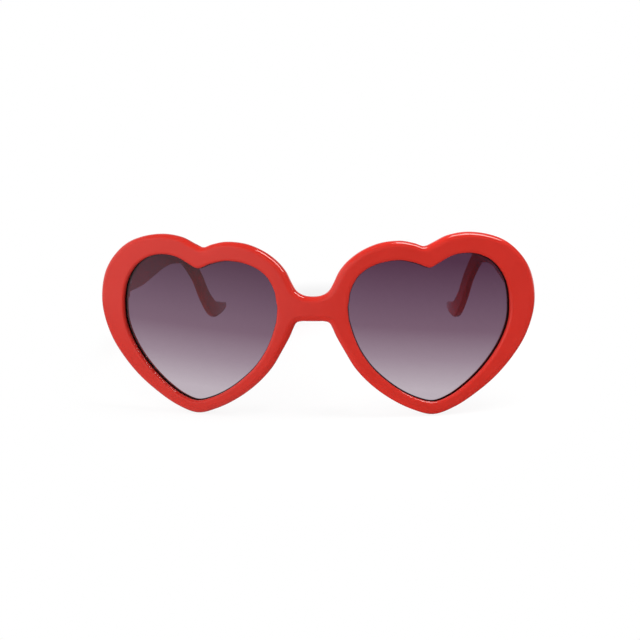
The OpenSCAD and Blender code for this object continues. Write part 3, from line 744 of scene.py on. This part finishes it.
class SUNGLASSES_OT_nose_pads(Operator):
    """Builds the two nose pads, glued behind the inner rims and tumbled smooth"""
    bl_idname = "sunglasses.nose_pads"
    bl_label = "Nose pads"

    def execute(self, context):
        scene = context.scene
        front, pad = scene.front_sizes, scene.pad_sizes
        heart = Heart(scene)
        shares = np.array(PAD_RING_SHARES, float)
        shares = np.vstack([smooth_run(carried_on(shares), pad.ring_steps)[0], shares[-1]])
        around = np.linspace(0, 2 * math.pi, pad.sides, endpoint=False)
        cos, sin = math.cos(pad.pad_turn), math.sin(pad.pad_turn)
        base = np.array(PAD_PLACE_SHARES) * (front.bridge_w / 2, front.bridge_z)
        rings = []
        for share, spread in shares:
            depth = share * pad.pad_depth
            x = spread * pad.pad_w / 2 * np.cos(around)
            z = spread * pad.pad_l / 2 * np.sin(around)
            plane = base + depth * np.array(PAD_DRIFT_SHARES) + np.stack(
                [x * cos - z * sin, x * sin + z * cos], axis=1)
            rings.append(heart.wrapped(plane, front.front_t + pad.bond + depth))
        material = acetate(scene.finishes, "pads")
        for side in SIDES:
            piece = mesh_object(f"soft_nose_pad_{side}", mirrored(np.vstack(rings), side),
                                skin_faces(len(rings), pad.sides))
            shade(piece, "pad")
            stand_for(piece, material, "pad_red", f"nose_pad_{side}")
        return {"FINISHED"}


def softened_copy(node, name, edge):
    """A merged copy of a node's mesh with its edges softened"""
    mesh = frame["nodes"][node].data.copy()
    if "custom_normal" in mesh.attributes:
        mesh.attributes.remove(mesh.attributes["custom_normal"])
    tidy_mesh(mesh, NODE_MERGE, flat=math.radians(1))
    return softened(linked(name, mesh), name, edge, SHARP_PAST["hinge"], "hinge")


class SUNGLASSES_OT_end_blocks(Operator):
    """Builds the two end blocks, glued behind the outer rims"""
    bl_idname = "sunglasses.end_blocks"
    bl_label = "End blocks"

    def execute(self, context):
        scene = context.scene
        material = acetate(scene.finishes, "blocks")
        for side in SIDES:
            piece = softened_copy(f"end_block_{side}", f"hinge_block_{side}", scene.hinge_sizes.block_edge)
            stand_for(piece, material, "pad_red", f"end_block_{side}")
        return {"FINISHED"}


class SUNGLASSES_OT_hinge_leaves(Operator):
    """Builds the front and temple leaves of both hinges"""
    bl_idname = "sunglasses.hinge_leaves"
    bl_label = "Hinge leaves"

    def execute(self, context):
        scene = context.scene
        # Tumbled with abrasive chips, which leaves an even satin with 0.3 mm marks
        material = hinge_metal("Tumbled nickel silver", scene.finishes.nickel, 0.24, 0.38, 0.3, (1, 1, 1))
        for side in SIDES:
            for place in ("front", "temple"):
                node = f"{place}_hinge_leaf_{side}"
                piece = softened_copy(node, f"{place}_leaf_{side}", scene.hinge_sizes.leaf_edge)
                stand_for(piece, material, "hinge_metal", node)
        return {"FINISHED"}


def turned_screw(name, profile, hinge):
    """A screw turned from its profile of radii and heights, with a slot in its head"""
    sides = hinge.screw_sides
    around = np.linspace(0, 2 * math.pi, sides, endpoint=False)
    points = np.vstack([np.stack([r * np.cos(around), r * np.sin(around), np.full(sides, z)], axis=1)
                        for r, z in profile])
    reach = 2 * max(radius for radius, _ in profile)
    screw = cut_boxes(mesh_object(name, points, skin_faces(len(profile), sides)), name, [
        ((-reach, -hinge.slot_w / 2, -hinge.slot_depth), (reach, hinge.slot_w / 2, reach - hinge.slot_depth))])
    shade(screw, "screw")
    radii = [math.hypot(v.co.x, v.co.y) for v in screw.data.vertices]
    screw.data.attributes.new("turned_radius", "FLOAT", "POINT").data.foreach_set("value", radii)
    return screw


def screw_tree():
    """Nodes that set one screw on each point, turned as the point says"""
    tree, keys, given = new_tree("Set screws", {
        "Points": "Geometry", "Screw": "Object", "Loose turn": "Float", "Seed": "Int",
        "Finish": "Material"}, "Screws")
    turn = add_node(tree, "GeometryNodeInputNamedAttribute", {"data_type": "FLOAT_VECTOR"}, {"Name": "turn"})
    screw = add_node(tree, "GeometryNodeObjectInfo", inputs={"Object": given["Screw"]})
    placed = add_node(tree, "GeometryNodeInstanceOnPoints", inputs={
        "Points": given["Points"], "Instance": screw.outputs["Geometry"], "Rotation": turn})
    least = add_node(tree, "ShaderNodeMath", {"operation": "MULTIPLY"}, {0: given["Loose turn"], 1: -1.0})
    spin = add_node(tree, "FunctionNodeRandomValue", {"data_type": "FLOAT"}, {
        "Min": least, "Max": given["Loose turn"], "Seed": given["Seed"]})
    about = add_node(tree, "ShaderNodeCombineXYZ", inputs={"Z": spin})
    end_tree(tree, add_node(tree, "GeometryNodeRotateInstances", inputs={
        "Instances": placed, "Rotation": about, "Local Space": True}), given["Finish"])
    return tree, keys


def screw_spots(kind, side, head):
    """Place and turn of each screw of a kind on one side, read from the nodes"""
    low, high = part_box(f"{kind}_{side}")
    mid = (low + high) / 2
    quarter = math.pi / 2
    if kind == "pivot_screw":
        return [((mid.x, mid.y, high.z), (0, 0, 0))]
    if kind == "front_leaf_screws":
        return [((mid.x, high.y, z), (-quarter, 0, 0)) for z in (low.z + head, high.z - head)]
    face = low.x if side == "left" else high.x
    return [((face, y, mid.z), (0, -SIDES[side] * quarter, 0)) for y in (low.y + head, high.y - head)]


class SUNGLASSES_OT_screws(Operator):
    """Builds the slotted screws: two in each leaf, and the pivot of each hinge"""
    bl_idname = "sunglasses.screws"
    bl_label = "Screws"

    def execute(self, context):
        hinge = context.scene.hinge_sizes
        shank, head, edge = hinge.screw_d / 2, hinge.head_d / 2, hinge.screw_edge
        small = turned_screw("small_screw", [
            (edge, -hinge.screw_l), (shank - edge, -hinge.screw_l), (shank, -hinge.screw_l + edge),
            (shank, -hinge.head_h), (head, -edge), (head - edge, 0), (edge, 0)], hinge)
        low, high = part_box("pivot_screw_left")
        pivot_l = high.z - low.z
        pivot, collar = hinge.pivot_d / 2, (high.x - low.x) / 2
        pin = turned_screw("hinge_pin", [
            (edge, -pivot_l), (pivot - edge, -pivot_l), (pivot, -pivot_l + edge),
            (pivot, -hinge.pivot_head_h), (collar - edge, -hinge.pivot_head_h),
            (collar, edge - hinge.pivot_head_h), (collar, -2 * edge), (collar - 0.6 * edge, -0.6 * edge),
            (collar - 2 * edge, 0), (edge, 0)], hinge)
        tree, keys = screw_tree()
        finish = turned_steel(context.scene.finishes)
        sets = [("front_screw_set", small, LEAF_SCREW_TURN, "front_leaf_screws", ("left", "right")),
                ("hinge_pin_set", pin, PIVOT_TURN, "pivot_screw", ("left", "right")),
                ("temple_screw_set_left", small, LEAF_SCREW_TURN, "temple_leaf_screws", ("left",)),
                ("temple_screw_set_right", small, LEAF_SCREW_TURN, "temple_leaf_screws", ("right",))]
        for order, (name, screw, loose, kind, sides) in enumerate(sets):
            places, turns = zip(*(spot for side in sides for spot in screw_spots(kind, side, head)))
            piece = grown(mesh_object(name + "_points", places, values={"turn": turns}), name, tree, keys, {
                "Screw": screw, "Loose turn": loose, "Seed": hinge.slot_seed + order, "Finish": finish})
            stand_for(piece, finish, "screw_metal", *[f"{kind}_{side}" for side in sides])
        discard(small)
        discard(pin)
        return {"FINISHED"}


def bar_tree():
    """Nodes that sweep a bar with rounded edges along a path that carries its place, side, up,
    height, thickness and rounding"""
    tree, keys, given = new_tree("Temple bar", {
        "Path": "Geometry", "Corner steps": "Int", "Finish": "Material"}, "Bar")
    value = {"index": add_node(tree, "GeometryNodeInputIndex"), "steps": given["Corner steps"]}
    for kind, names in (("FLOAT", ("height", "thickness", "rounding")),
                        ("FLOAT_VECTOR", ("place", "side", "up", "arc", "corner"))):
        for name in names:
            value[name] = add_node(tree, "GeometryNodeInputNamedAttribute", {"data_type": kind},
                                   {"Name": name})
    for name in ("arc", "corner"):
        parts = add_node(tree, "ShaderNodeSeparateXYZ", inputs={"Vector": value[name]}).outputs
        value.update({f"{name} {axis}": parts[axis] for axis in ("X", "Y")})
    # The working, each step with its name, its operation and the two values that it takes. A ring
    # of points has a quarter for each rounded edge, with the place of a point on its arc and the
    # way to its corner, and these give how far the point lies to the side and up. A small step past
    # each point's number keeps the count of its corner whole
    for name, operation, first, second in (
            ("per corner", "ADD", "steps", 1.0), ("points", "MULTIPLY", "per corner", 4.0),
            ("past", "ADD", "index", 0.001), ("corners", "DIVIDE", "past", "per corner"),
            ("number", "FLOOR", "corners", 0.0), ("before", "MULTIPLY", "number", "per corner"),
            ("step", "SUBTRACT", "index", "before"), ("share", "DIVIDE", "step", "steps"),
            ("start", "MULTIPLY", "number", math.pi / 2), ("turn", "MULTIPLY", "share", math.pi / 2),
            ("angle", "ADD", "start", "turn"), ("diagonal", "ADD", "start", math.pi / 4),
            ("ring arc X", "COSINE", "angle", 0.0), ("ring arc Y", "SINE", "angle", 0.0),
            ("across", "COSINE", "diagonal", 0.0), ("upwards", "SINE", "diagonal", 0.0),
            ("ring corner X", "SIGN", "across", 0.0), ("ring corner Y", "SIGN", "upwards", 0.0),
            *(row for way, breadth, axis in (("side", "thickness", "X"), ("up", "height", "Y")) for row in (
                ("half", "DIVIDE", breadth, 2.0), ("flat", "SUBTRACT", "half", "rounding"),
                ("straight", "MULTIPLY", "corner " + axis, "flat"),
                ("curved", "MULTIPLY", "arc " + axis, "rounding"),
                ("reach " + way, "ADD", "straight", "curved")))):
        value[name] = add_node(tree, "ShaderNodeMath", {"operation": operation},
                               {0: value.get(first, first), 1: value.get(second, second)})
    profile = add_node(tree, "GeometryNodeCurvePrimitiveCircle", inputs={
        "Resolution": value["points"], "Radius": 1.0 * MM})
    for name in ("arc", "corner"):
        pair = add_node(tree, "ShaderNodeCombineXYZ", inputs={
            axis: value[f"ring {name} {axis}"] for axis in ("X", "Y")})
        profile = add_node(tree, "GeometryNodeStoreNamedAttribute",
                           {"data_type": "FLOAT_VECTOR", "domain": "POINT"},
                           {"Geometry": profile, "Name": name, "Value": pair})
    path = add_node(tree, "GeometryNodeMeshToCurve", inputs={"Mesh": given["Path"]})
    bar = add_node(tree, "GeometryNodeCurveToMesh", inputs={
        "Curve": path, "Profile Curve": profile, "Fill Caps": True})
    place = value["place"]
    for way in ("side", "up"):
        out = add_node(tree, "ShaderNodeVectorMath", {"operation": "SCALE"},
                       {"Vector": value[way], "Scale": value["reach " + way]})
        place = add_node(tree, "ShaderNodeVectorMath", {"operation": "ADD"}, {0: place, 1: out})
    end_tree(tree, add_node(tree, "GeometryNodeSetPosition", inputs={"Geometry": bar, "Position": place}),
             given["Finish"])
    return tree, keys


class SUNGLASSES_OT_temples(Operator):
    """Builds the two temples, with the stepped front end and the pocket for the hinge leaf"""
    bl_idname = "sunglasses.temples"
    bl_label = "Temples"

    def execute(self, context):
        scene = context.scene
        sizes, hinge = scene.temple_sizes, scene.hinge_sizes
        low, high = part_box("temple_left")
        axis = Vector(next(joint["pos_m"] for joint in frame["joints"] if joint["name"].startswith("left")))
        inner_x = high.x - sizes.temple_t
        lower_z = axis.z - sizes.temple_h / 2
        rows = np.array([(inner_x - inset * sizes.tip_inset + thick * sizes.temple_t / 2,
                          low.y + reach * sizes.temple_reach,
                          drop * lower_z + tall * sizes.temple_h / 2,
                          tall * sizes.temple_h, thick * sizes.temple_t)
                         for reach, drop, inset, tall, thick in TEMPLE_SHARES])
        run = np.vstack([smooth_run(carried_on(rows), sizes.steps)[0], rows[-1]])
        places, breadths = run[:, :3], run[:, 3:]
        ways = np.vstack([[(0, 1, 0)], places[2:] - places[:-2], [places[-1] - places[-2]]])
        ways /= np.linalg.norm(ways, axis=1, keepdims=True)
        # The tip closes in a quarter of an ellipse
        quarter = np.linspace(0, TIP_SHARE * math.pi / 2, sizes.tip_steps + 1)[1:]
        places = np.vstack([places, places[-1] + np.outer(sizes.tip_end * np.sin(quarter), ways[-1])])
        breadths = np.vstack([breadths, np.outer(np.cos(quarter), breadths[-1])])
        ways = np.vstack([ways, np.repeat(ways[-1:], len(quarter), axis=0)])
        scale = np.concatenate([np.ones(len(run)), np.cos(quarter)])
        sideways = np.cross(ways, (0, 0, 1))
        sideways /= np.linalg.norm(sideways, axis=1, keepdims=True)
        rounding = np.minimum(scale * sizes.temple_round, CORNER_SHARE * breadths.min(axis=1))
        leaf_low, leaf_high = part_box("temple_hinge_leaf_left")
        barrel = hinge.barrel_d / 2 + sizes.notch_play
        beyond, play = 2 * sizes.temple_t, sizes.seat_play
        step = ((axis.x - beyond, low.y - beyond, lower_z - beyond),
                (axis.x + barrel, axis.y + barrel, lower_z + sizes.temple_h + beyond))
        pocket = ((axis.x - beyond, axis.y, leaf_low.z - play),
                  (inner_x + hinge.leaf_t + play, leaf_high.y + play, leaf_high.z + play))
        tree, keys = bar_tree()
        finish = acetate(scene.finishes, "temples")
        for side in SIDES:
            name = f"acetate_temple_{side}"
            path = mesh_object(name + "_path", mirrored(places, side),
                               edges=[(i, i + 1) for i in range(len(places) - 1)],
                               values={"place": mirrored(places, side), "side": mirrored(sideways, side),
                                       "up": mirrored(np.cross(sideways, ways), side),
                                       "height": breadths[:, 0], "thickness": breadths[:, 1],
                                       "rounding": rounding})
            bar = grown(path, name + "_bar", tree, keys, {
                "Corner steps": sizes.corner_steps, "Finish": finish})
            tidy_mesh(bar.data)
            bar = cut_boxes(bar, name + "_bar", [mirrored(box, side) for box in (step, pocket)])
            piece = softened(bar, name, sizes.soft_edge, SOFT_PAST, "temple")
            stand_for(piece, finish, "temple_red", f"temple_{side}")
        return {"FINISHED"}


class SUNGLASSES_OT_core_wires(Operator):
    """Gives the sealed core wires their finish"""
    bl_idname = "sunglasses.core_wires"
    bl_label = "Core wires"

    def execute(self, context):
        # Drawn through a die, which leaves long marks along the wire
        material = hinge_metal("Drawn steel wire", context.scene.finishes.steel, 0.2, 0.34, 0.2, (1, 0.05, 1))
        for side in SIDES:
            wire = frame["nodes"][f"temple_core_{side}"].data
            wire.materials.clear()
            wire.materials.append(material)
        return {"FINISHED"}


def studio_strength(tree, way, floor_gloss=1.0):
    """Strength of the studio's light from a direction. The camera and glass see it white"""
    part = add_node(tree, "ShaderNodeSeparateXYZ", inputs={"Vector": way}).outputs
    level = {"light": 1.0, "walls": floor_gloss, "ground": 1.0}
    for name, rows in STUDIO.items():
        for axis, start, end, below, above in rows:
            change = add_node(tree, "ShaderNodeMapRange", {"interpolation_type": "SMOOTHSTEP"}, {
                "Value": part[axis], "From Min": start, "From Max": end, "To Min": below, "To Max": above})
            level[name] = add_node(tree, "ShaderNodeMath", {"operation": "MULTIPLY"},
                                   {0: level[name], 1: change})
    ray = add_node(tree, "ShaderNodeLightPath").outputs
    gloss = add_node(tree, "ShaderNodeMix", inputs={"Factor": level["ground"], "A": level["walls"], "B": 1.0})
    strength = add_node(tree, "ShaderNodeMix", inputs={
        "Factor": ray["Is Glossy Ray"], "A": level["light"], "B": gloss})
    seen = add_node(tree, "ShaderNodeMath", {"operation": "MAXIMUM"},
                    {0: ray["Is Camera Ray"], 1: ray["Is Transmission Ray"]})
    return add_node(tree, "ShaderNodeMix", inputs={"Factor": seen, "A": strength, "B": 1.0})


def world_light(scene):
    """The studio round the glasses"""
    scene.world = bpy.data.worlds.new("Soft studio")
    scene.world.use_nodes = True
    tree = scene.world.node_tree
    tree.nodes.clear()
    way = add_node(tree, "ShaderNodeTexCoord").outputs["Generated"]
    add_node(tree, "ShaderNodeOutputWorld", inputs={"Surface": add_node(tree, "ShaderNodeBackground", inputs={
        "Color": (1, 1, 1, 1), "Strength": studio_strength(tree, way)})})


def paper_floor(finishes):
    """White paper sweep: matt under the glasses, where it takes their shadows, and lit up further off"""
    material, tree = new_material("White paper floor")
    place = add_node(tree, "ShaderNodeTexCoord").outputs["Object"]
    behind = add_node(tree, "ShaderNodeSeparateXYZ", inputs={"Vector": place}).outputs["Y"]
    narrowed = add_node(tree, "ShaderNodeVectorMath", {"operation": "MULTIPLY"}, {0: place, 1: SHADOW_SPREAD})
    spread, away = (add_node(tree, "ShaderNodeVectorMath", {"operation": "LENGTH"}, {0: where})
                    for where in (narrowed, place))
    level = {}
    for name, where, (start, end, first, last) in (
            ("near", behind, WHITE_BEHIND), ("white", spread, WHITE_AWAY), ("gloss", away, GLOSS_AWAY)):
        level[name] = add_node(tree, "ShaderNodeMapRange", {"interpolation_type": "SMOOTHSTEP"}, {
            "Value": where, "From Min": start, "From Max": end, "To Min": level.get(first, first),
            "To Max": last})
    ray = add_node(tree, "ShaderNodeLightPath").outputs
    share = ray["Is Camera Ray"]
    for operation, other in (("MAXIMUM", ray["Is Transmission Ray"]), ("MULTIPLY", level["white"]),
                             ("MAXIMUM", ray["Is Glossy Ray"])):
        share = add_node(tree, "ShaderNodeMath", {"operation": operation}, {0: share, 1: other})
    paper = add_node(tree, "ShaderNodeBsdfDiffuse", inputs={"Color": (*finishes.floor, 1)})
    way = add_node(tree, "ShaderNodeVectorMath", {"operation": "NORMALIZE"}, {0: place})
    white = add_node(tree, "ShaderNodeEmission", inputs={
        "Color": (1, 1, 1, 1), "Strength": studio_strength(tree, way, level["gloss"])})
    return ended(material, add_node(tree, "ShaderNodeMixShader", inputs={0: share, 1: paper, 2: white}))


def softbox(name, place, target, turn, size_xy, power, in_gloss):
    """A rectangular lamp that looks at the target, turned about its own axis, and that no camera sees"""
    lamp = bpy.data.lights.new(name, "AREA")
    lamp.shape = "RECTANGLE"
    lamp.size, lamp.size_y = size_xy
    lamp.energy = power
    box = linked(name, lamp)
    box.location = place
    look = (Vector(target) - Vector(place)).to_track_quat("-Z", "Y")
    box.rotation_euler = (look @ Quaternion((0, 0, 1), turn)).to_euler()
    box.visible_camera, box.visible_glossy = False, in_gloss


class SUNGLASSES_OT_stage(Operator):
    """Sets the floor, the light and the camera of the photograph"""
    bl_idname = "sunglasses.stage"
    bl_label = "Stage"

    def execute(self, context):
        scene = context.scene
        scene.view_settings.view_transform = "Standard"
        world_light(scene)
        reach = FLOOR_REACH
        floor = mesh_object("floor", [(-reach, -reach, 0), (reach, -reach, 0), (reach, reach, 0),
                                      (-reach, reach, 0)], [(0, 1, 2, 3)])
        floor.data.materials.append(paper_floor(scene.finishes))
        for name, lamp in LAMPS.items():
            softbox(name, *lamp)
        camera = bpy.data.cameras.new("Camera")
        camera.sensor_fit = "HORIZONTAL"
        camera.lens = camera.sensor_width * FOCAL_PIXELS / PICTURE_WIDTH
        turned = Matrix.Identity(3)
        for axis, degrees in CAMERA_TURNS:
            turned = turned @ Matrix.Rotation(math.radians(degrees), 3, axis)
        axes = Matrix((turned @ Vector((1, 0, 0)), turned @ Vector((0, 0, 1)), turned @ Vector((0, -1, 0))))
        scene.camera = linked("Camera", camera)
        scene.camera.matrix_world = Matrix.Translation(CAMERA_PLACE) @ axes.transposed().to_4x4()
        return {"FINISHED"}


OPERATORS = (SUNGLASSES_OT_front, SUNGLASSES_OT_lenses, SUNGLASSES_OT_nose_pads, SUNGLASSES_OT_end_blocks,
             SUNGLASSES_OT_hinge_leaves, SUNGLASSES_OT_screws, SUNGLASSES_OT_temples,
             SUNGLASSES_OT_core_wires, SUNGLASSES_OT_stage)


class SUNGLASSES_PT_builder(Panel):
    """Lists the sizes, the finishes and what can be built"""
    bl_label = "Sunglasses"
    bl_idname = "SUNGLASSES_PT_builder"
    bl_space_type = "VIEW_3D"
    bl_region_type = "UI"
    bl_category = "Sunglasses"

    def draw(self, context):
        for name, group in SETTINGS.items():
            box = self.layout.box()
            box.label(text=name.replace("_", " ").capitalize())
            settings = getattr(context.scene, name)
            for field in group.__annotations__:
                box.prop(settings, field)
        for operator in OPERATORS:
            self.layout.operator(operator.bl_idname)


def register():
    for group in SETTINGS.values():
        bpy.utils.register_class(group)
    for name, group in SETTINGS.items():
        setattr(bpy.types.Scene, name, PointerProperty(type=group))
    for part in (*OPERATORS, SUNGLASSES_PT_builder):
        bpy.utils.register_class(part)


def unregister():
    for part in (SUNGLASSES_PT_builder, *reversed(OPERATORS)):
        bpy.utils.unregister_class(part)
    for name, group in reversed(SETTINGS.items()):
        delattr(bpy.types.Scene, name)
        bpy.utils.unregister_class(group)


def main():
    register()
    for operator in OPERATORS:
        getattr(bpy.ops.sunglasses, operator.bl_idname.split(".")[1])()


if __name__ == "__main__":
    main()
